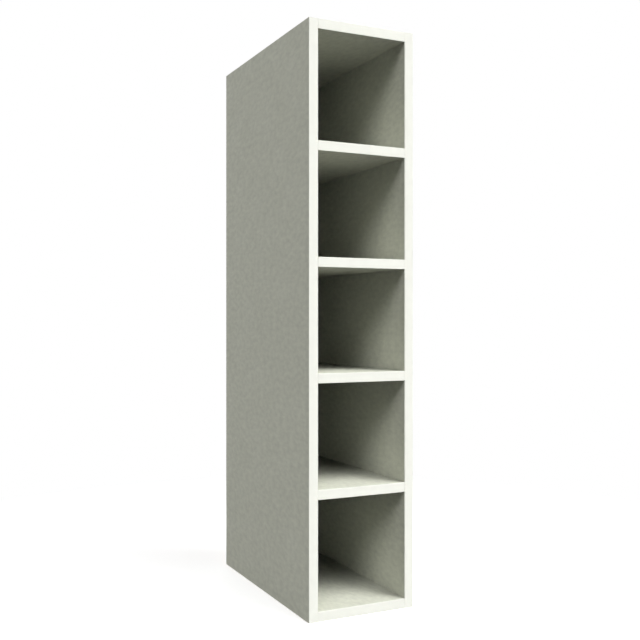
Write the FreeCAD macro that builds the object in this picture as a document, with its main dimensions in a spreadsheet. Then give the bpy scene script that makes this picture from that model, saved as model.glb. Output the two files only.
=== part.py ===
"""Open wine cabinet: a narrow wall unit of plain boards with stacked bottle bays.

Frame: +Z up, the front faces -Y, origin at the centre of the underside. Millimetres.
The sides run full height. The top and bottom panels lie between them, held by cam fittings and dowels.
The shelves sit in dados cut in the sides. The back panel sits in grooves, with hang rails behind it.
"""
import FreeCAD, Part
import os

import Sketcher
from FreeCAD import Placement, Rotation, Vector

DOCUMENT = FreeCAD.newDocument("wine_cabinet")
SHEET = DOCUMENT.addObject("Spreadsheet::Sheet", "sizes")

# Driving dimensions, in millimetres apart from the count of bays.
SIZES = {
    # The box: 6 x 12 x 30 in, in half-inch board.
    "cabinet_width": 152.4,
    "cabinet_depth": 304.8,
    "cabinet_height": 762,
    "board_thickness": 12.7,
    "bay_count": 5,
    # Bands glued on the front edges.
    "band_thickness": 1,
    "band_rounding": 0.5,
    # Dados that carry the shelves.
    "dado_depth": 5,
    "dado_clearance": 0.1,
    "shelf_end_clearance": 0.3,
    "shelf_rear_clearance": 0.3,
    # Back panel and the grooves that hold it.
    "back_thickness": 6.35,
    "back_groove_depth": 6,
    "back_clearance": 0.2,
    # Hang rails behind the back panel.
    "rail_thickness": 12.7,
    "rail_height": 76.2,
    "wall_hole_diameter": 5,
    # Dowels.
    "dowel_diameter": 6,
    "dowel_length": 28,
    "dowel_chamfer": 0.8,
    "dowel_inset": 32,
    "rail_dowel_spacing": 38,
    # Blind bores in the sides, which take the dowels and the bolts' threads.
    "side_bore_floor": 3.2,
    "bore_clearance": 0.05,
    "bore_end_clearance": 0.5,
    # Cams, turned from the outer faces of the top and bottom panels.
    "cam_diameter": 14.8,
    "cam_inset": 64,
    "cam_setback": 24,
    "cam_clearance": 0.1,
    "cam_recess": 0.2,
    "cam_skirt": 0.65,
    "cam_eccentricity": 1,
    "driver_slot_length": 8,
    "driver_slot_width": 1.4,
    "driver_slot_depth": 1.8,
    "arrow_offset": 5.3,
    "arrow_radius": 1.7,
    "arrow_depth": 0.4,
    # Bolts that the cams grip.
    "bolt_head_diameter": 5,
    "bolt_neck_diameter": 3,
    "bolt_shank_diameter": 6,
    "bolt_collar_diameter": 7.4,
    "bolt_collar_length": 1.2,
    "bolt_thread_diameter": 5,
    "bolt_bore_clearance": 0.3,
    "bolt_grip_clearance": 0.05,
    "bolt_running_clearance": 0.3,
}
for row, (alias, number) in enumerate(SIZES.items(), start=1):
    SHEET.set(f"A{row}", alias)
    SHEET.set(f"B{row}", str(number))
    SHEET.setAlias(f"B{row}", alias)
DOCUMENT.recompute()


def half(expression):
    return f"({expression}) / 2"


def minus(expression):
    return f"-({expression})"


# Planes and sizes that several pieces share, as expressions in the sheet's cells.
INNER_WIDTH = "(sizes.cabinet_width - 2 * sizes.board_thickness)"
FRONT = "(-sizes.cabinet_depth / 2)"
REAR = "(sizes.cabinet_depth / 2)"
BOARD_FRONT = f"({FRONT} + sizes.band_thickness)"
BACK_REAR = f"({REAR} - sizes.rail_thickness)"
BACK_FRONT = f"({BACK_REAR} - sizes.back_thickness)"
GROOVE_FRONT = f"({BACK_FRONT} - sizes.back_clearance)"
GROOVE_REAR = f"({BACK_REAR} + sizes.back_clearance)"
SHELF_REAR = f"({BACK_FRONT} - sizes.shelf_rear_clearance)"
SHELF_PITCH = "((sizes.cabinet_height - 2 * sizes.board_thickness) / sizes.bay_count)"
TOP_PANEL_BASE = "(sizes.cabinet_height - sizes.board_thickness)"
BACK_OVERLAP = "(sizes.back_groove_depth - sizes.back_clearance)"
BACK_LOW = f"(sizes.board_thickness - {BACK_OVERLAP})"
BACK_HIGH = f"({TOP_PANEL_BASE} + {BACK_OVERLAP})"
TOP_RAIL_BASE = f"({TOP_PANEL_BASE} - sizes.rail_height)"
RAIL_MIDDLE = f"({BACK_REAR} + sizes.rail_thickness / 2)"
DOWEL_ROWS = (f"({FRONT} + sizes.dowel_inset)", f"({REAR} - sizes.dowel_inset)")
CAM_ROWS = {"front": f"({FRONT} + sizes.cam_inset)", "rear": f"({REAR} - sizes.cam_inset)"}
CAM_OFFSET = f"({INNER_WIDTH} / 2 - sizes.cam_setback)"
SIDE_BORE_DEPTH = "(sizes.board_thickness - sizes.side_bore_floor)"
SIDE_SEAT = f"({SIDE_BORE_DEPTH} - sizes.bore_end_clearance)"
DOWEL_BORE_DEPTH = f"(sizes.dowel_length - {SIDE_SEAT} + sizes.bore_end_clearance)"
DOWEL_BORE = "(sizes.dowel_diameter + 2 * sizes.bore_clearance)"
BOLT_BORE = "(sizes.bolt_collar_diameter + 2 * sizes.bolt_bore_clearance)"
THREAD_BORE = "(sizes.bolt_thread_diameter + 2 * sizes.bore_clearance)"
CAM_BORE = "(sizes.cam_diameter + 2 * sizes.cam_clearance)"
BOLT_DEPTH_IN_CAM = "(sizes.board_thickness / 2 - sizes.cam_recess)"
CAM_HEIGHT = f"({BOLT_DEPTH_IN_CAM} + sizes.bolt_head_diameter / 2 + sizes.cam_skirt)"
CAM_BORE_DEPTH = f"({CAM_HEIGHT} + 2 * sizes.cam_recess)"
SHELF_COUNT = int(SHEET.bay_count) - 1
SHELVES = range(1, SHELF_COUNT + 1)

TOLERANCE = 1e-6
NODES = []


def shelf_base(number):
    """Height of a shelf's lower face, where shelf 1 is the lowest."""
    return f"({SHELF_PITCH} * {number} + sizes.board_thickness / 2)"


def new_body(label):
    body = DOCUMENT.addObject("PartDesign::Body", label)
    body.Label = label
    return body


def keep(piece, label):
    """Lists a finished piece as a node of the cabinet."""
    piece.Label = label
    NODES.append(piece)
    return piece


def place(piece, x="0", y="0", z="0"):
    for axis, expression in (("x", x), ("y", y), ("z", z)):
        piece.setExpression(f"Placement.Base.{axis}", expression)
    return piece


def origin_plane(body, role):
    return next(feature for feature in body.Origin.OriginFeatures if feature.Role == role)


def new_sketch(body, name, role, offset="0"):
    """Sketch on one of the body's origin planes, moved along the plane's normal by an expression."""
    sketch = body.newObject("Sketcher::SketchObject", f"{body.Label}_{name}")
    sketch.AttachmentSupport = [(origin_plane(body, role), "")]
    sketch.MapMode = "FlatFace"
    sketch.setExpression("AttachmentOffset.Base.z", offset)
    DOCUMENT.recompute()
    return sketch


def value(expression):
    return float(SHEET.evalExpression(expression))


def bind(sketch, kind, items, expression):
    """Adds a sketch dimension and ties it to an expression."""
    index = sketch.addConstraint(Sketcher.Constraint(kind, *items, value(expression)))
    sketch.setExpression(f"Constraints[{index}]", expression)


def draw_rectangle(sketch, left, low, right, high):
    x_low, y_low, x_high, y_high = (value(side) for side in (left, low, right, high))
    corners = [
        Vector(x_low, y_low, 0),
        Vector(x_high, y_low, 0),
        Vector(x_high, y_high, 0),
        Vector(x_low, y_high, 0),
    ]
    first = sketch.GeometryCount
    for index, corner in enumerate(corners):
        sketch.addGeometry(Part.LineSegment(corner, corners[(index + 1) % 4]), False)
    for index in range(4):
        following = first + (index + 1) % 4
        sketch.addConstraint(Sketcher.Constraint("Coincident", first + index, 2, following, 1))
        direction = "Vertical" if index % 2 else "Horizontal"
        sketch.addConstraint(Sketcher.Constraint(direction, first + index))
    bind(sketch, "DistanceX", (-1, 1, first, 1), left)
    bind(sketch, "DistanceY", (-1, 1, first, 1), low)
    bind(sketch, "DistanceX", (-1, 1, first + 2, 1), right)
    bind(sketch, "DistanceY", (-1, 1, first + 2, 1), high)


def draw_circle(sketch, across, up, diameter):
    centre = Vector(value(across), value(up), 0)
    circle = sketch.addGeometry(Part.Circle(centre, Vector(0, 0, 1), value(diameter) / 2), False)
    bind(sketch, "DistanceX", (-1, 1, circle, 3), across)
    bind(sketch, "DistanceY", (-1, 1, circle, 3), up)
    bind(sketch, "Diameter", (circle,), diameter)


def pad(body, sketch, length, backwards=False):
    feature = body.newObject("PartDesign::Pad", f"{sketch.Name}_pad")
    feature.Profile = sketch
    feature.Reversed = backwards
    feature.setExpression("Length", length)
    DOCUMENT.recompute()
    return feature


def pocket(body, sketch, depth, with_normal=False):
    """Cuts a sketch into its body, against the sketch's normal unless told otherwise."""
    volume_before = body.Shape.Volume
    feature = body.newObject("PartDesign::Pocket", f"{sketch.Name}_pocket")
    feature.Profile = sketch
    feature.Reversed = with_normal
    feature.setExpression("Length", depth)
    DOCUMENT.recompute()
    if not body.Shape.Volume < volume_before:
        raise RuntimeError(f"{feature.Label} cuts nothing")
    return feature


def mirror_across(body, features):
    """Repeats end bores of a panel at its other end."""
    volume_before = body.Shape.Volume
    feature = body.newObject("PartDesign::Mirrored", f"{body.Label}_other_end")
    feature.Originals = features
    feature.MirrorPlane = (origin_plane(body, "YZ_Plane"), [""])
    body.Tip = feature
    DOCUMENT.recompute()
    if not body.Shape.Volume < volume_before:
        raise RuntimeError(f"{feature.Label} cuts nothing")
    return feature


def make_side(label, hand):
    """Side board, left for a hand of -1 and right for +1, with its dados, groove and blind bores."""
    body = new_body(label)
    is_right = hand > 0
    outer_face = f"({hand} * sizes.cabinet_width / 2)"
    inner_face = f"({hand} * {INNER_WIDTH} / 2)"

    outline = new_sketch(body, "outline", "YZ_Plane", outer_face)
    draw_rectangle(outline, BOARD_FRONT, "0", REAR, "sizes.cabinet_height")
    pad(body, outline, "sizes.board_thickness", backwards=is_right)

    dados = new_sketch(body, "dados", "YZ_Plane", inner_face)
    for number in SHELVES:
        low = f"{shelf_base(number)} - sizes.dado_clearance"
        high = f"{shelf_base(number)} + sizes.board_thickness + sizes.dado_clearance"
        draw_rectangle(dados, BOARD_FRONT, low, BACK_FRONT, high)
    pocket(body, dados, "sizes.dado_depth", with_normal=is_right)

    groove = new_sketch(body, "back_groove", "YZ_Plane", inner_face)
    groove_low = f"{BACK_LOW} - sizes.back_clearance"
    groove_high = f"{BACK_HIGH} + sizes.back_clearance"
    draw_rectangle(groove, GROOVE_FRONT, groove_low, GROOVE_REAR, groove_high)
    pocket(body, groove, "sizes.back_groove_depth", with_normal=is_right)

    dowel_bores = new_sketch(body, "dowel_bores", "YZ_Plane", inner_face)
    bolt_bores = new_sketch(body, "bolt_bores", "YZ_Plane", inner_face)
    for panel_base in ("0", TOP_PANEL_BASE):
        middle = f"{panel_base} + sizes.board_thickness / 2"
        for row in DOWEL_ROWS:
            draw_circle(dowel_bores, row, middle, DOWEL_BORE)
        for row in CAM_ROWS.values():
            draw_circle(bolt_bores, row, middle, THREAD_BORE)
    for rail_base in ("sizes.board_thickness", TOP_RAIL_BASE):
        for step in (-1, 1):
            height = rail_dowel_height(rail_base, step)
            draw_circle(dowel_bores, RAIL_MIDDLE, height, DOWEL_BORE)
    pocket(body, dowel_bores, SIDE_BORE_DEPTH, with_normal=is_right)
    pocket(body, bolt_bores, SIDE_BORE_DEPTH, with_normal=is_right)
    return keep(body, label)


def rail_dowel_height(rail_base, step):
    """Height of the lower (-1) or upper (+1) dowel in a rail's end."""
    return f"{rail_base} + sizes.rail_height / 2 + {step} * sizes.rail_dowel_spacing / 2"


def make_end_panel(label, base, is_top):
    """Top or bottom panel: back groove inside, cam bores outside, and bores for bolts and dowels."""
    body = place(new_body(label), z=base)
    inner_face, outer_face = ("0", "sizes.board_thickness") if is_top else ("sizes.board_thickness", "0")
    half_width = half(INNER_WIDTH)
    middle = "sizes.board_thickness / 2"

    outline = new_sketch(body, "outline", "XY_Plane")
    draw_rectangle(outline, minus(half_width), BOARD_FRONT, half_width, REAR)
    pad(body, outline, "sizes.board_thickness")

    groove = new_sketch(body, "back_groove", "XY_Plane", inner_face)
    draw_rectangle(groove, minus(half_width), GROOVE_FRONT, half_width, GROOVE_REAR)
    pocket(body, groove, "sizes.back_groove_depth", with_normal=is_top)

    cam_bores = new_sketch(body, "cam_bores", "XY_Plane", outer_face)
    for row in CAM_ROWS.values():
        for hand in (-1, 1):
            draw_circle(cam_bores, f"{hand} * {CAM_OFFSET}", row, CAM_BORE)
    pocket(body, cam_bores, CAM_BORE_DEPTH, with_normal=not is_top)

    bolt_bores = new_sketch(body, "bolt_bores", "YZ_Plane", minus(half_width))
    for row in CAM_ROWS.values():
        draw_circle(bolt_bores, row, middle, BOLT_BORE)
    bolt_cut = pocket(body, bolt_bores, "sizes.cam_setback", with_normal=True)

    dowel_bores = new_sketch(body, "dowel_bores", "YZ_Plane", minus(half_width))
    for row in DOWEL_ROWS:
        draw_circle(dowel_bores, row, middle, DOWEL_BORE)
    dowel_cut = pocket(body, dowel_bores, DOWEL_BORE_DEPTH, with_normal=True)

    mirror_across(body, [bolt_cut, dowel_cut])
    return keep(body, label)


def make_shelf(number):
    """Shelf board whose ends reach into the dados of both sides."""
    label = f"shelf_{number}"
    body = place(new_body(label), z=shelf_base(number))
    half_width = f"({INNER_WIDTH} / 2 + sizes.dado_depth - sizes.shelf_end_clearance)"
    outline = new_sketch(body, "outline", "XY_Plane")
    draw_rectangle(outline, minus(half_width), BOARD_FRONT, half_width, SHELF_REAR)
    pad(body, outline, "sizes.board_thickness")
    return keep(body, label)


def make_back_panel():
    """Back panel in the grooves of sides, top and bottom, with a hole for each wall screw."""
    body = new_body("back_panel")
    half_width = f"({INNER_WIDTH} / 2 + {BACK_OVERLAP})"
    outline = new_sketch(body, "outline", "XZ_Plane", minus(BACK_REAR))
    draw_rectangle(outline, minus(half_width), BACK_LOW, half_width, BACK_HIGH)
    pad(body, outline, "sizes.back_thickness")

    holes = new_sketch(body, "wall_holes", "XZ_Plane", minus(BACK_REAR))
    for rail_base in ("sizes.board_thickness", TOP_RAIL_BASE):
        draw_circle(holes, "0", f"{rail_base} + sizes.rail_height / 2", "sizes.wall_hole_diameter")
    pocket(body, holes, "sizes.back_thickness", with_normal=True)
    return keep(body, "back_panel")


def make_hang_rail(label, base):
    """Rail between the sides, behind the back panel, with a wall-screw hole and dowel bores in its ends."""
    body = place(new_body(label), z=base)
    half_width = half(INNER_WIDTH)
    outline = new_sketch(body, "outline", "XZ_Plane", minus(REAR))
    draw_rectangle(outline, minus(half_width), "0", half_width, "sizes.rail_height")
    pad(body, outline, "sizes.rail_thickness")

    hole = new_sketch(body, "wall_hole", "XZ_Plane", minus(REAR))
    draw_circle(hole, "0", "sizes.rail_height / 2", "sizes.wall_hole_diameter")
    pocket(body, hole, "sizes.rail_thickness", with_normal=True)

    dowel_bores = new_sketch(body, "dowel_bores", "YZ_Plane", minus(half_width))
    for step in (-1, 1):
        draw_circle(dowel_bores, RAIL_MIDDLE, rail_dowel_height("0", step), DOWEL_BORE)
    dowel_cut = pocket(body, dowel_bores, DOWEL_BORE_DEPTH, with_normal=True)
    mirror_across(body, [dowel_cut])
    return keep(body, label)


def make_band(label, left, right, base, height):
    """Band on a board's front edge, with its two long front arrises rounded."""
    body = place(new_body(label), z=base)
    outline = new_sketch(body, "outline", "XZ_Plane", minus(BOARD_FRONT))
    draw_rectangle(outline, left, "0", right, height)
    strip = pad(body, outline, "sizes.band_thickness")

    front = value(FRONT)
    long_side = max(value(right) - value(left), value(height))
    arrises = []
    for number, edge in enumerate(strip.Shape.Edges, start=1):
        lies_on_front = all(abs(vertex.Y - front) < TOLERANCE for vertex in edge.Vertexes)
        if lies_on_front and abs(edge.Length - long_side) < TOLERANCE:
            arrises.append(f"Edge{number}")
    rounding = body.newObject("PartDesign::Fillet", f"{label}_rounding")
    rounding.Base = (strip, arrises)
    rounding.setExpression("Radius", "min(sizes.band_rounding; sizes.band_thickness / 2)")
    DOCUMENT.recompute()
    return keep(body, label)


def new_cylinder(name, radius, length, turn=None):
    """Round bar from the origin along +Z, or along the axis that a rotation turns +Z to."""
    bar = DOCUMENT.addObject("Part::Cylinder", name)
    bar.setExpression("Radius", radius)
    bar.setExpression("Height", length)
    if turn is not None:
        bar.Placement = Placement(Vector(), turn)
    return bar


def new_box(name, length, width, height):
    block = DOCUMENT.addObject("Part::Box", name)
    block.setExpression("Length", length)
    block.setExpression("Width", width)
    block.setExpression("Height", height)
    return block


def new_fusion(name, shapes):
    fusion = DOCUMENT.addObject("Part::MultiFuse", name)
    fusion.Shapes = shapes
    return fusion


ALONG_X = Rotation(Vector(0, 1, 0), 90)
ALONG_MINUS_X = Rotation(Vector(0, 1, 0), -90)
HALF_TURN_ABOUT_X = Rotation(Vector(1, 0, 0), 180)
HALF_TURN_ABOUT_Y = Rotation(Vector(0, 1, 0), 180)
HALF_TURN_ABOUT_Z = Rotation(Vector(0, 0, 1), 180)


def make_dowel_pattern():
    """One dowel along X: its seat in the left side lies at negative x, the rest in the panel."""
    body = new_body("dowel_pattern")
    outline = new_sketch(body, "outline", "YZ_Plane", minus(SIDE_SEAT))
    draw_circle(outline, "0", "0", "sizes.dowel_diameter")
    pin = pad(body, outline, "sizes.dowel_length")
    rims = [f"Edge{n}" for n, edge in enumerate(pin.Shape.Edges, start=1) if len(edge.Vertexes) == 1]
    eased = body.newObject("PartDesign::Chamfer", "dowel_pattern_ends")
    eased.Base = (pin, rims)
    eased.setExpression("Size", "sizes.dowel_chamfer")
    DOCUMENT.recompute()
    return body


def make_bolt_pattern():
    """One bolt along X from the left side's inner face: thread at negative x, collar, shank and head."""
    shank_end = f"(sizes.cam_setback - {CAM_BORE} / 2)"
    thread = new_cylinder("bolt_thread", half("sizes.bolt_thread_diameter"), SIDE_SEAT, ALONG_MINUS_X)
    collar_length = "sizes.bolt_collar_length"
    collar = new_cylinder("bolt_collar", half("sizes.bolt_collar_diameter"), collar_length, ALONG_X)
    shank = new_cylinder("bolt_shank", half("sizes.bolt_shank_diameter"), shank_end, ALONG_X)
    neck = new_cylinder("bolt_neck", half("sizes.bolt_neck_diameter"), "sizes.cam_setback", ALONG_X)
    head = DOCUMENT.addObject("Part::Sphere", "bolt_head")
    head.setExpression("Radius", half("sizes.bolt_head_diameter"))
    place(head, x="sizes.cam_setback")
    return new_fusion("bolt_pattern", [thread, collar, shank, neck, head])


def make_cam_pattern():
    """One locked cam, its tool face up at the origin, that grips a bolt head coming from -X.

    The hollow is a cylinder off the cam's axis, so the wall that holds the head is thickest when locked.
    Turned anticlockwise, the slot runs along the bolt's neck until the head faces the wide entrance.
    A sunk arrow on the tool face points to that entrance.
    """
    overshoot = "sizes.cam_diameter"
    head_radius = half("sizes.bolt_head_diameter")
    hollow_radius = f"({head_radius} + sizes.cam_eccentricity + sizes.bolt_grip_clearance)"
    slot_radius = half("sizes.bolt_neck_diameter + 2 * sizes.bolt_running_clearance")
    head_room = f"({head_radius} + sizes.bolt_running_clearance)"

    blank = new_cylinder("cam_blank", half("sizes.cam_diameter"), CAM_HEIGHT)
    place(blank, z=minus(CAM_HEIGHT))

    hollow = new_cylinder("cam_hollow", hollow_radius, f"{overshoot} + {head_room}")
    place(hollow, x="sizes.cam_eccentricity", z=f"-{BOLT_DEPTH_IN_CAM} - {overshoot}")

    slot = new_cylinder("cam_slot", overshoot, f"2 * {slot_radius}")
    slot.Angle = 180
    place(slot, z=f"-{BOLT_DEPTH_IN_CAM} - {slot_radius}")

    seat = new_cylinder("cam_seat", slot_radius, overshoot, ALONG_MINUS_X)
    place(seat, z=minus(BOLT_DEPTH_IN_CAM))

    entrance = new_cylinder("cam_entrance", head_room, overshoot, ALONG_X)
    place(entrance, z=minus(BOLT_DEPTH_IN_CAM))

    driver_cross = []
    arms = {
        "driver_slot_along": ("sizes.driver_slot_length", "sizes.driver_slot_width"),
        "driver_slot_across": ("sizes.driver_slot_width", "sizes.driver_slot_length"),
    }
    for name, (length, width) in arms.items():
        arm = new_box(name, length, width, f"sizes.driver_slot_depth + {overshoot}")
        place(arm, minus(half(length)), minus(half(width)), "-sizes.driver_slot_depth")
        driver_cross.append(arm)

    arrow = DOCUMENT.addObject("Part::Prism", "cam_arrow")
    arrow.Polygon = 3
    arrow.setExpression("Circumradius", "sizes.arrow_radius")
    arrow.setExpression("Height", f"sizes.arrow_depth + {overshoot}")
    place(arrow, x="sizes.arrow_offset", z="-sizes.arrow_depth")

    cuts = new_fusion("cam_cuts", [hollow, slot, seat, entrance, *driver_cross, arrow])
    cam = DOCUMENT.addObject("Part::Cut", "cam_pattern")
    cam.Base = blank
    cam.Tool = cuts
    return cam


def copy_at(pattern, name, x, y, z, turn=None):
    """A copy of a repeated fitting, turned about its own origin and placed by expressions."""
    copy = DOCUMENT.addObject("Part::Compound", name)
    copy.Links = [pattern]
    if turn is not None:
        copy.Placement = Placement(Vector(), turn)
    return place(copy, x, y, z)


def new_group(label, members):
    group = DOCUMENT.addObject("Part::Compound", label)
    group.Links = members
    return keep(group, label)


def side_copies(pattern, name, rows):
    """Copies of a fitting at both sides, at each (y, z) in rows."""
    copies = []
    for index, (y, z) in enumerate(rows, start=1):
        for side, hand, turn in (("left", -1, None), ("right", 1, HALF_TURN_ABOUT_Z)):
            x = f"{hand} * {INNER_WIDTH} / 2"
            copies.append(copy_at(pattern, f"{name}_{side}_{index}", x, y, z, turn))
    return copies


def make_dowels(dowel):
    panels = {"top_panel_dowels": TOP_PANEL_BASE, "bottom_panel_dowels": "0"}
    for label, base in panels.items():
        rows = [(row, f"{base} + sizes.board_thickness / 2") for row in DOWEL_ROWS]
        new_group(label, side_copies(dowel, label, rows))
    rails = {"top_rail_dowels": TOP_RAIL_BASE, "bottom_rail_dowels": "sizes.board_thickness"}
    for label, base in rails.items():
        rows = [(RAIL_MIDDLE, rail_dowel_height(base, step)) for step in (-1, 1)]
        new_group(label, side_copies(dowel, label, rows))


def make_bolts(bolt):
    heights = [f"{base} + sizes.board_thickness / 2" for base in ("0", TOP_PANEL_BASE)]
    rows = [(row, height) for row in CAM_ROWS.values() for height in heights]
    copies = side_copies(bolt, "cam_bolt", rows)
    new_group("left_cam_bolts", copies[0::2])
    new_group("right_cam_bolts", copies[1::2])


def make_cams(cam):
    """Cams at rest, locked: tool face up in the top panel, down in the bottom panel."""
    faces = {
        "top": ("sizes.cabinet_height - sizes.cam_recess", None, HALF_TURN_ABOUT_Z),
        "bottom": ("sizes.cam_recess", HALF_TURN_ABOUT_X, HALF_TURN_ABOUT_Y),
    }
    for panel, (height, left_turn, right_turn) in faces.items():
        for row, y in CAM_ROWS.items():
            for side, hand, turn in (("left", -1, left_turn), ("right", 1, right_turn)):
                label = f"{panel}_cam_{row}_{side}"
                keep(copy_at(cam, label, f"{hand} * {CAM_OFFSET}", y, height, turn), label)


def make_bands():
    half_width = half(INNER_WIDTH)
    outer = half("sizes.cabinet_width")
    make_band("left_side_band", minus(outer), minus(half_width), "0", "sizes.cabinet_height")
    make_band("right_side_band", half_width, outer, "0", "sizes.cabinet_height")
    boards = {"top_panel": TOP_PANEL_BASE, "bottom_panel": "0"}
    for number in SHELVES:
        boards[f"shelf_{number}"] = shelf_base(number)
    for board, base in boards.items():
        make_band(f"{board}_band", minus(half_width), half_width, base, "sizes.board_thickness")


def check_document():
    """Stops on any object that failed to build and on any node whose solids aren't sound."""
    for item in DOCUMENT.Objects:
        faults = {"Invalid", "Error"}.intersection(item.State)
        if faults:
            raise RuntimeError(f"{item.Label} failed: {faults}")
    for node in NODES:
        if node.Shape.isNull() or not node.Shape.isValid() or not node.Shape.Solids:
            raise RuntimeError(f"{node.Label} has no sound shape")


def export_nodes():
    os.makedirs("parts", exist_ok=True)
    for node in NODES:
        node.Shape.exportStep(os.path.join("parts", f"{node.Label}.step"))
        print(f"{node.Label}: {len(node.Shape.Solids)} solid(s), {node.Shape.Volume:.1f} mm3")


make_side("left_side", -1)
make_side("right_side", 1)
make_end_panel("top_panel", TOP_PANEL_BASE, is_top=True)
make_end_panel("bottom_panel", "0", is_top=False)
for shelf_number in SHELVES:
    make_shelf(shelf_number)
make_back_panel()
make_hang_rail("top_hang_rail", TOP_RAIL_BASE)
make_hang_rail("bottom_hang_rail", "sizes.board_thickness")
make_bands()
make_dowels(make_dowel_pattern())
make_bolts(make_bolt_pattern())
make_cams(make_cam_pattern())
DOCUMENT.recompute()
check_document()
export_nodes()
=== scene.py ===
"""Looks of the open wine cabinet, in metres and in the frame of its solids: +Z up, front towards -Y.

The boards are white melamine with raw particle board where no band covers their edges. The back panel is
lacquered in front and raw behind. Zinc cams show on the top and on the underside.
"""
import math

import bpy
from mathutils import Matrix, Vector


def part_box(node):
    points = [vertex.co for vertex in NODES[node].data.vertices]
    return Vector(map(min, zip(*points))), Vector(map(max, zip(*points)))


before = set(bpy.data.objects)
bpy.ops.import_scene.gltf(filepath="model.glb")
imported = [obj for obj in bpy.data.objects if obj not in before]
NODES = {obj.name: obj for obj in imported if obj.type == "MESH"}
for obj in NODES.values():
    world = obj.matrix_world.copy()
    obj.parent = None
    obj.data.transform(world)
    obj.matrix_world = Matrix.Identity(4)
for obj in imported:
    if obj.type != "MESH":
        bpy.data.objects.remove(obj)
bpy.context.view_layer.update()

MM = 0.001

# A polygon is part of a face if its normal agrees with the face's axis and its middle is near the plane.
SQUARE_SHARE = 0.99
PLANE_GAP = 0.05 * MM

# Display colours, as 0-255 values.
# The boards' warm white sits below the bands' white so that the bays come out darker: partly the boards'
# own colour, partly painted shade.
WARM_WHITE_DIMMED_AS_SHADE = (222, 224, 208)
BAND_WHITE = (238, 239, 230)
LACQUER_WHITE = (220, 222, 207)
SCUFF_GREY = (196, 195, 182)
CHIP_DARK = (142, 104, 62)
CHIP_TAN = (190, 152, 104)
CHIP_PALE = (222, 193, 150)
FIBRE_DARK = (112, 78, 46)
FIBRE_BROWN = (146, 108, 68)
BEECH_PALE = (222, 188, 145)
BEECH_DARK = (188, 144, 98)
ZINC_PALE = (176, 177, 176)
ZINC_DARK = (118, 119, 118)
# Zinc darkened far below its own colour: painted shade for the cams' sunk cross, arrow and sides.
PAINTED_SHADE_ZINC_PALE = (88, 88, 86)
PAINTED_SHADE_ZINC_DARK = (52, 52, 50)
STEEL_PALE = (206, 206, 202)
STEEL_DARK = (160, 160, 154)
FLOOR_WHITE = (240, 240, 240)
FLOOR_GREY = (63, 63, 63)

# Low gloss of the white coats and bands.
COAT_SPECULAR = 0.16
# Brightness of a coat's small clouds, which are drawn out from front to back, and of its wide drifts.
CLOUD_TONES = (0.83, 1.17)
FRONT_TO_BACK = (1.0, 0.5, 1.0)
DRIFT_TONES = (0.98, 1.02)
# Brightness of a band's clouds.
BAND_TONES = (0.96, 1.04)

# Noise keeps mostly to the first range. A patch fades in over the second.
NOISE_RANGE = (0.3, 0.7)
PATCH_RANGE = (0.45, 0.65)
# Agreement of the eased normal with the flat one, from a worn arris to a flat face.
ARRIS_RANGE = (0.75, 0.995)
ARRIS_SAMPLES = 6
# Share of a board's thickness from its middle, from the coarse core to the fine skin.
SKIN_RANGE = (0.22, 0.34)

# Floor: half its width, its drop below the cabinet, the glow that lifts it to white, and the distances from
# the middle of the underside between which its shadow fades out.
FLOOR_REACH = 8.0
FLOOR_DROP = 0.5 * MM
FLOOR_GLOW = 0.62
FLOOR_FADE = (0.25, 0.9)

# Lamps: the angle in degrees that each covers in the sky, then name, azimuth and elevation in degrees, and
# strength in watts per square metre.
LAMP_ANGLE = 28
LAMPS = [
    ("upper_right", 40, 50, 2.02),
    ("upper_front", 20, 50, 0.6),
    ("upper_left", -45, 40, 0.93),
    ("front", 20, 12, 1.03),
    ("right", 60, 12, 0.77),
    ("rear_left", -130, 15, 0.68),
    ("rear_right", 160, 5, 2.2),
    ("below", 20, -50, 2.27),
]
# Light is followed over one bounce, so that the bays grow dark with depth.
DIFFUSE_BOUNCES = 1

# Camera: sensor and lens in millimetres, place in metres, then its tilt up from straight down and its turn
# to the left, in degrees.
CAMERA_SENSOR = 36.0
CAMERA_LENS = 50.402
CAMERA_PLACE = (-0.553367, -1.171342, 0.381195)
CAMERA_TILT = 90
CAMERA_TURN = -25.795


def linear(colour):
    """A display colour in the linear scale that shaders use, with alpha."""
    shares = [channel / 255 for channel in colour]
    return [s / 12.92 if s <= 0.04045 else ((s + 0.055) / 1.055) ** 2.4 for s in shares] + [1.0]


def by_axis(axis, along, across):
    """Factors for X, Y and Z: one along the axis, another across it."""
    return [along if letter == axis else across for letter in "xyz"]


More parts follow.
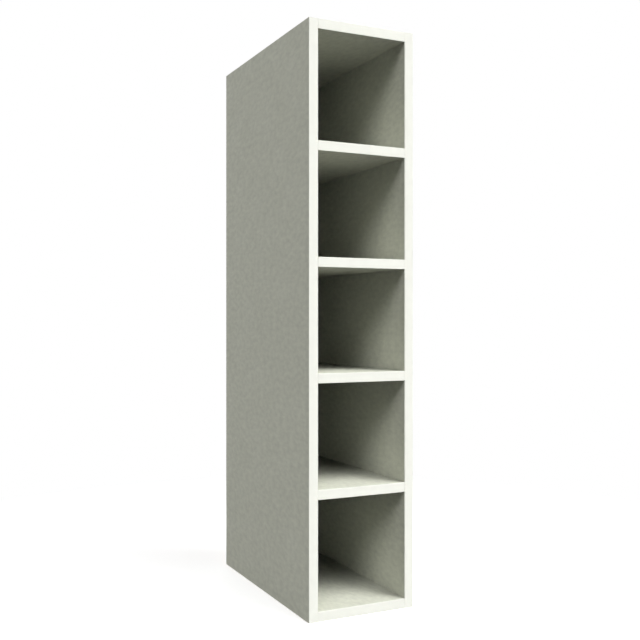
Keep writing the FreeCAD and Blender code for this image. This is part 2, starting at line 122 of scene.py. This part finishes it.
class Paint:
    """The nodes of a material, or of the world, under construction."""

    def __init__(self, owner, shader="Principled BSDF"):
        owner.use_nodes = True
        self.owner = owner
        self.tree = owner.node_tree
        self.shader = self.tree.nodes[shader]

    def feed(self, socket, source):
        """Links a socket to another node's output, or sets its constant value."""
        if isinstance(source, bpy.types.NodeSocket):
            self.tree.links.new(source, socket)
        else:
            socket.default_value = source

    def node(self, kind, inputs, **settings):
        """A new node with its settings, and with its inputs fed by name or number."""
        made = self.tree.nodes.new(f"ShaderNode{kind}")
        for name, setting in settings.items():
            setattr(made, name, setting)
        for key, source in inputs.items():
            self.feed(made.inputs[key], source)
        return made

    def shade(self, **inputs):
        """Sets sockets of the material's shader, named with _ for a space."""
        for name, source in inputs.items():
            self.feed(self.shader.inputs[name.replace("_", " ")], source)

    def place(self, stretch=(1, 1, 1)):
        """Position on the object in metres, with each axis multiplied."""
        position = self.node("TexCoord", {}).outputs["Object"]
        return self.node("Mapping", {"Vector": position, "Scale": stretch}).outputs["Vector"]

    def noise(self, where, size, detail=2.0):
        """Cloudy values from 0 to 1, with features of about that size in metres."""
        inputs = {"Vector": where, "Scale": 1 / size, "Detail": detail}
        return self.node("TexNoise", inputs).outputs[0]

    def cells(self, where, size):
        """A random value from 0 to 1 for each irregular cell of about that size."""
        inputs = {"Vector": where, "Scale": 1 / size}
        tone = self.node("TexVoronoi", inputs).outputs["Color"]
        return self.node("SeparateColor", {"Color": tone}).outputs["Red"]

    def spread(self, value, target, source=(0.0, 1.0)):
        """Values from the source range moved to the target range."""
        inputs = {"Value": value}
        inputs["From Min"], inputs["From Max"] = source
        inputs["To Min"], inputs["To Max"] = target
        return self.node("MapRange", inputs).outputs["Result"]

    def math(self, operation, first, second=0.0):
        return self.node("Math", {0: first, 1: second}, operation=operation).outputs["Value"]

    def average(self, first, second):
        return self.math("MULTIPLY", self.math("ADD", first, second), 0.5)

    def ramp(self, value, stops):
        """Colour along a row of (position, display colour) stops."""
        made = self.node("ValToRGB", {"Fac": value})
        elements = made.color_ramp.elements
        while len(elements) < len(stops):
            elements.new(1.0)
        for element, (position, colour) in zip(elements, stops):
            element.position = position
            element.color = linear(colour)
        return made.outputs["Color"]

    # The three mixes take none of the second at a share of 0. Their sockets go by number, because names
    # repeat on these nodes.

    def mix_colours(self, share, first, second, blend="MIX"):
        inputs = {0: share, 6: first, 7: second}
        return self.node("Mix", inputs, data_type="RGBA", blend_type=blend).outputs[2]

    def mix_values(self, share, first, second):
        return self.node("Mix", {0: share, 2: first, 3: second}).outputs[0]

    def mix_surfaces(self, share, first, second):
        return self.node("MixShader", {0: share, 1: first, 2: second}).outputs[0]

    def toned(self, colour, tone):
        """A display colour with its brightness multiplied by a tone."""
        return self.mix_colours(1.0, linear(colour), tone, blend="MULTIPLY")

    def eased_normal(self, radius):
        """Surface normal with the arrises rounded by a radius in metres."""
        return self.node("Bevel", {"Radius": radius}, samples=ARRIS_SAMPLES).outputs["Normal"]

    def arris_mask(self, eased):
        """1 on an arris and 0 on a flat face, from the eased normal."""
        flat = self.node("NewGeometry", {}).outputs["Normal"]
        agreement = self.node("VectorMath", {0: eased, 1: flat}, operation="DOT_PRODUCT")
        return self.spread(agreement.outputs["Value"], (1.0, 0.0), ARRIS_RANGE)

    def scuffed(self, coat, eased, patch_size, strength):
        """A coat worn grey in patches along its arrises."""
        patches = self.spread(self.noise(self.place(), patch_size), (0.0, 1.0), PATCH_RANGE)
        worn = self.math("MULTIPLY", self.arris_mask(eased), patches)
        return self.mix_colours(self.math("MULTIPLY", worn, strength), coat, linear(SCUFF_GREY))

    def bump(self, height, depth, normal=None):
        """Relief of a depth in metres, on top of another normal if one is given."""
        inputs = {"Height": height, "Distance": depth}
        if normal is not None:
            inputs["Normal"] = normal
        return self.node("Bump", inputs).outputs["Normal"]

    def seen_straight(self):
        """1 for what the camera sees, also in a mirror or through glass, and 0 for the light it casts."""
        path = self.node("LightPath", {}).outputs
        seen = self.math("MAXIMUM", path["Is Camera Ray"], path["Is Glossy Ray"])
        return self.math("MAXIMUM", seen, path["Is Transmission Ray"])


def new_paint(name):
    return Paint(bpy.data.materials.new(name))


def white_coat(name, colour, roughness, pearl_depth):
    """A pale coat with faint clouding, a pearled surface and scuffed arrises."""
    paint = new_paint(name)
    where = paint.place()
    clouds = paint.noise(paint.place(FRONT_TO_BACK), size=5.8 * MM)
    drifts = paint.noise(where, size=130 * MM)
    tone = paint.math("MULTIPLY", paint.spread(clouds, CLOUD_TONES), paint.spread(drifts, DRIFT_TONES))
    eased = paint.eased_normal(radius=0.7 * MM)
    pearl = paint.noise(where, size=1.1 * MM)
    smears = paint.noise(where, size=40 * MM, detail=4)

    paint.shade(
        Base_Color=paint.scuffed(paint.toned(colour, tone), eased, patch_size=5 * MM, strength=0.5),
        Roughness=paint.spread(smears, roughness, NOISE_RANGE),
        Specular_IOR_Level=COAT_SPECULAR,
        Normal=paint.bump(pearl, pearl_depth, eased),
    )
    return paint.owner


def melamine():
    # Its white is partly the board's own colour and partly painted shade, dimmed below the bands to darken
    # the bays.
    return white_coat("white_melamine", WARM_WHITE_DIMMED_AS_SHADE, roughness=(0.56, 0.7), pearl_depth=0.02 * MM)


def lacquer():
    return white_coat("white_lacquer", LACQUER_WHITE, roughness=(0.6, 0.72), pearl_depth=0.015 * MM)


def edge_band(axis):
    """Satin band with fine lines drawn along it, about 15 mm long and 0.3 mm wide."""
    paint = new_paint(f"white_band_along_{axis}")
    lines = paint.noise(paint.place(by_axis(axis, along=2.0, across=100.0)), size=30 * MM, detail=3)
    clouds = paint.noise(paint.place(), size=15 * MM, detail=3)
    coat = paint.toned(BAND_WHITE, paint.spread(clouds, BAND_TONES))
    eased = paint.eased_normal(radius=0.4 * MM)

    paint.shade(
        Base_Color=paint.scuffed(coat, eased, patch_size=6 * MM, strength=0.35),
        Roughness=paint.spread(lines, (0.5, 0.64), NOISE_RANGE),
        Specular_IOR_Level=COAT_SPECULAR,
        Normal=paint.bump(lines, 0.01 * MM, eased),
    )
    return paint.owner


def particle_board(axis):
    """Raw board edge: flat chips, coarse in the core and fine near the faces across the axis."""
    paint = new_paint(f"raw_particle_board_{axis}")
    where = paint.place(by_axis(axis, along=2.6, across=1.0))
    coarse = paint.cells(where, size=2.6 * MM)
    fine = paint.cells(where, size=0.9 * MM)
    share = paint.node("SeparateXYZ", {"Vector": paint.node("TexCoord", {}).outputs["Generated"]})
    from_middle = paint.math("ABSOLUTE", paint.math("SUBTRACT", share.outputs[axis.upper()], 0.5))
    skin = paint.spread(from_middle, (0.0, 1.0), SKIN_RANGE)
    chips = paint.mix_values(skin, coarse, fine)
    wood = paint.ramp(chips, [(0.0, CHIP_DARK), (0.35, CHIP_TAN), (1.0, CHIP_PALE)])
    saw = paint.noise(where, size=0.5 * MM)

    paint.shade(
        Base_Color=paint.mix_colours(paint.spread(saw, (0.0, 0.5)), wood, linear(CHIP_DARK)),
        Roughness=paint.spread(chips, (0.8, 0.95)),
        Normal=paint.bump(paint.math("ADD", chips, saw), 0.12 * MM),
    )
    return paint.owner


def fibreboard():
    """Raw brown rear of the back panel, matted fibres with a slight cloud."""
    paint = new_paint("raw_fibreboard")
    clouds = paint.noise(paint.place(), size=25 * MM, detail=4)
    fibres = [
        paint.noise(paint.place(by_axis(axis, along=0.25, across=1.0)), size=0.8 * MM, detail=4)
        for axis in "zx"
    ]
    matted = paint.average(*fibres)
    tone = paint.mix_values(0.7, clouds, matted)

    paint.shade(
        Base_Color=paint.ramp(tone, [(0.25, FIBRE_DARK), (0.75, FIBRE_BROWN)]),
        Roughness=paint.spread(matted, (0.75, 0.95)),
        Normal=paint.bump(matted, 0.1 * MM),
    )
    return paint.owner


def beech():
    """Dowel wood: grain and pressed flutes along X, with short pores."""
    paint = new_paint("raw_beech")
    grain = paint.noise(paint.place(by_axis("x", along=0.06, across=1.0)), size=0.5 * MM, detail=4)
    pores = paint.cells(paint.place(by_axis("x", along=0.3, across=1.0)), size=0.4 * MM)

    paint.shade(
        Base_Color=paint.ramp(paint.average(grain, pores), [(0.25, BEECH_DARK), (0.7, BEECH_PALE)]),
        Roughness=paint.spread(grain, (0.6, 0.8)),
        Normal=paint.bump(grain, 0.08 * MM),
    )
    return paint.owner


def metal(name, dark, pale, grain_size, grain_depth, roughness, stretch=(1, 1, 1)):
    """Bare metal with grain, patches that vary its roughness and tone, and brighter worn arrises."""
    paint = new_paint(name)
    grain = paint.noise(paint.place(stretch), grain_size, detail=3)
    patches = paint.noise(paint.place(), size=3 * MM, detail=3)
    eased = paint.eased_normal(radius=0.3 * MM)
    worn = paint.math("MULTIPLY", paint.arris_mask(eased), 0.6)
    body = paint.ramp(paint.average(grain, patches), [(NOISE_RANGE[0], dark), (NOISE_RANGE[1], pale)])

    paint.shade(
        Base_Color=paint.mix_colours(worn, body, linear(pale)),
        Metallic=1.0,
        Roughness=paint.spread(patches, roughness, NOISE_RANGE),
        Normal=paint.bump(grain, grain_depth, eased),
    )
    return paint.owner


def die_cast_zinc():
    return metal(
        "die_cast_zinc", ZINC_DARK, ZINC_PALE,
        grain_size=0.35 * MM, grain_depth=0.03 * MM, roughness=(0.66, 0.8),
    )


# Zinc darkened as painted shade, for the recesses and sides of the cams.
def painted_shade_zinc():
    return metal(
        "painted_shade_zinc", PAINTED_SHADE_ZINC_DARK, PAINTED_SHADE_ZINC_PALE,
        grain_size=0.35 * MM, grain_depth=0.04 * MM, roughness=(0.7, 0.85),
    )


def plated_steel():
    return metal(
        "plated_steel", STEEL_DARK, STEEL_PALE,
        grain_size=0.6 * MM, grain_depth=0.02 * MM, roughness=(0.25, 0.4),
        stretch=by_axis("x", along=0.2, across=1.0),
    )


def dress(name, *materials):
    """Gives a node its materials and returns its mesh."""
    mesh = NODES[name].data
    mesh.materials.clear()
    for material in materials:
        mesh.materials.append(material)
    return mesh


def dress_board(name, axis, coat, core, coated_ends=(0, 1)):
    """Coats a board's two faces across an axis, or one of them, and leaves the rest as raw core."""
    index = "xyz".index(axis)
    planes = [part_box(name)[end][index] for end in coated_ends]
    mesh = dress(name, coat, core)
    for polygon in mesh.polygons:
        faces_out = abs(polygon.normal[index]) > SQUARE_SHARE
        on_plane = any(abs(polygon.center[index] - plane) < PLANE_GAP for plane in planes)
        polygon.material_index = 0 if faces_out and on_plane else 1


def dress_cam(name, worn, shaded_metal):
    """Gives a cam's tool face worn metal, and its sunk cross, arrow and sides a much darker zinc that is
    painted shade.
    """
    low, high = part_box(name)
    tool_face = high.z if name.startswith("top") else low.z
    mesh = dress(name, worn, shaded_metal)
    for polygon in mesh.polygons:
        polygon.material_index = 0 if abs(polygon.center.z - tool_face) < PLANE_GAP else 1


def dress_cabinet():
    """Gives every node its material, by the kind of piece that its name tells."""
    coat = melamine()
    cores = {axis: particle_board(axis) for axis in "xyz"}
    bands = {axis: edge_band(axis) for axis in "xz"}
    wood = beech()
    steel = plated_steel()
    zinc = die_cast_zinc()
    # The cams' sunk cross, arrow and sides get zinc darkened as painted shade.
    zinc_in_painted_shade = painted_shade_zinc()
    for name in NODES:
        if name.endswith("_band"):
            dress(name, bands["z" if "side" in name else "x"])
        elif name.endswith("_dowels"):
            dress(name, wood)
        elif name.endswith("_bolts"):
            dress(name, steel)
        elif "_cam_" in name:
            dress_cam(name, zinc, zinc_in_painted_shade)
        elif name.endswith("_side"):
            dress_board(name, "x", coat, cores["x"])
        elif name.endswith("_rail"):
            dress_board(name, "y", coat, cores["y"])
        elif name == "back_panel":
            dress_board(name, "y", lacquer(), fibreboard(), coated_ends=(0,))
        else:
            dress_board(name, "z", coat, cores["z"])


def floor_paint():
    """Pale floor that is seen as white where no shadow falls, and that is clear from below.

    It casts light back as a darker grey does, and lets light through to the underside that stands on it.
    """
    paint = new_paint("pale_floor")
    paint.shade(Base_Color=linear(FLOOR_GREY), Roughness=0.9)
    lit = paint.node("BsdfDiffuse", {"Color": linear(FLOOR_WHITE)}).outputs[0]
    glow = paint.node("Emission", {"Strength": FLOOR_GLOW}).outputs[0]
    near = paint.node("AddShader", {0: lit, 1: glow}).outputs[0]
    white = paint.node("Emission", {}).outputs[0]
    distance = paint.node("VectorMath", {0: paint.place()}, operation="LENGTH").outputs["Value"]
    seen = paint.mix_surfaces(paint.spread(distance, (0.0, 1.0), FLOOR_FADE), near, white)
    above = paint.mix_surfaces(paint.seen_straight(), paint.shader.outputs[0], seen)

    ray_length = paint.node("LightPath", {}).outputs["Ray Length"]
    from_underside = paint.math("LESS_THAN", ray_length, 2 * FLOOR_DROP)
    from_below = paint.node("NewGeometry", {}).outputs["Backfacing"]
    clear = paint.node("BsdfTransparent", {}).outputs[0]
    surface = paint.mix_surfaces(paint.math("MAXIMUM", from_underside, from_below), above, clear)
    paint.feed(paint.tree.nodes["Material Output"].inputs["Surface"], surface)
    return paint.owner


def add_object(name, data):
    """A new object in the scene."""
    made = bpy.data.objects.new(name, data)
    bpy.context.scene.collection.objects.link(made)
    return made


def make_floor():
    """Wide pale floor just under the cabinet."""
    corners = [(-1, -1), (1, -1), (1, 1), (-1, 1)]
    mesh = bpy.data.meshes.new("floor")
    points = [(FLOOR_REACH * x, FLOOR_REACH * y, -FLOOR_DROP) for x, y in corners]
    mesh.from_pydata(points, [], [(0, 1, 2, 3)])
    mesh.materials.append(floor_paint())
    floor = add_object("floor", mesh)


def make_lamp(name, azimuth, elevation, strength):
    """Soft distant lamp that shines on the cabinet. Azimuth 0 is in front, and 90 to the right."""
    turn, rise = math.radians(azimuth), math.radians(elevation)
    level = math.cos(rise)
    away = Vector((math.sin(turn) * level, -math.cos(turn) * level, math.sin(rise)))
    data = bpy.data.lights.new(name, "SUN")
    data.energy = strength
    data.angle = math.radians(LAMP_ANGLE)
    lamp = add_object(name, data)
    lamp.rotation_euler = (-away).to_track_quat("-Z", "Y").to_euler()


def make_world():
    """White where it is seen, also in gloss. It casts no other light."""
    world = bpy.data.worlds.new("studio")
    paint = Paint(world, "Background")
    paint.shade(Color=(1, 1, 1, 1), Strength=paint.seen_straight())
    bpy.context.scene.world = world


def make_camera():
    """Level camera at the cabinet's mid height, to the left of its front."""
    data = bpy.data.cameras.new("camera")
    data.sensor_width = CAMERA_SENSOR
    data.lens = CAMERA_LENS
    camera = add_object("camera", data)
    camera.location = CAMERA_PLACE
    camera.rotation_euler = (math.radians(CAMERA_TILT), 0, math.radians(CAMERA_TURN))
    bpy.context.scene.camera = camera


dress_cabinet()
make_floor()
for lamp_facts in LAMPS:
    make_lamp(*lamp_facts)
make_world()
make_camera()
bpy.context.scene.view_settings.view_transform = "Standard"
bpy.context.scene.cycles.diffuse_bounces = DIFFUSE_BOUNCES
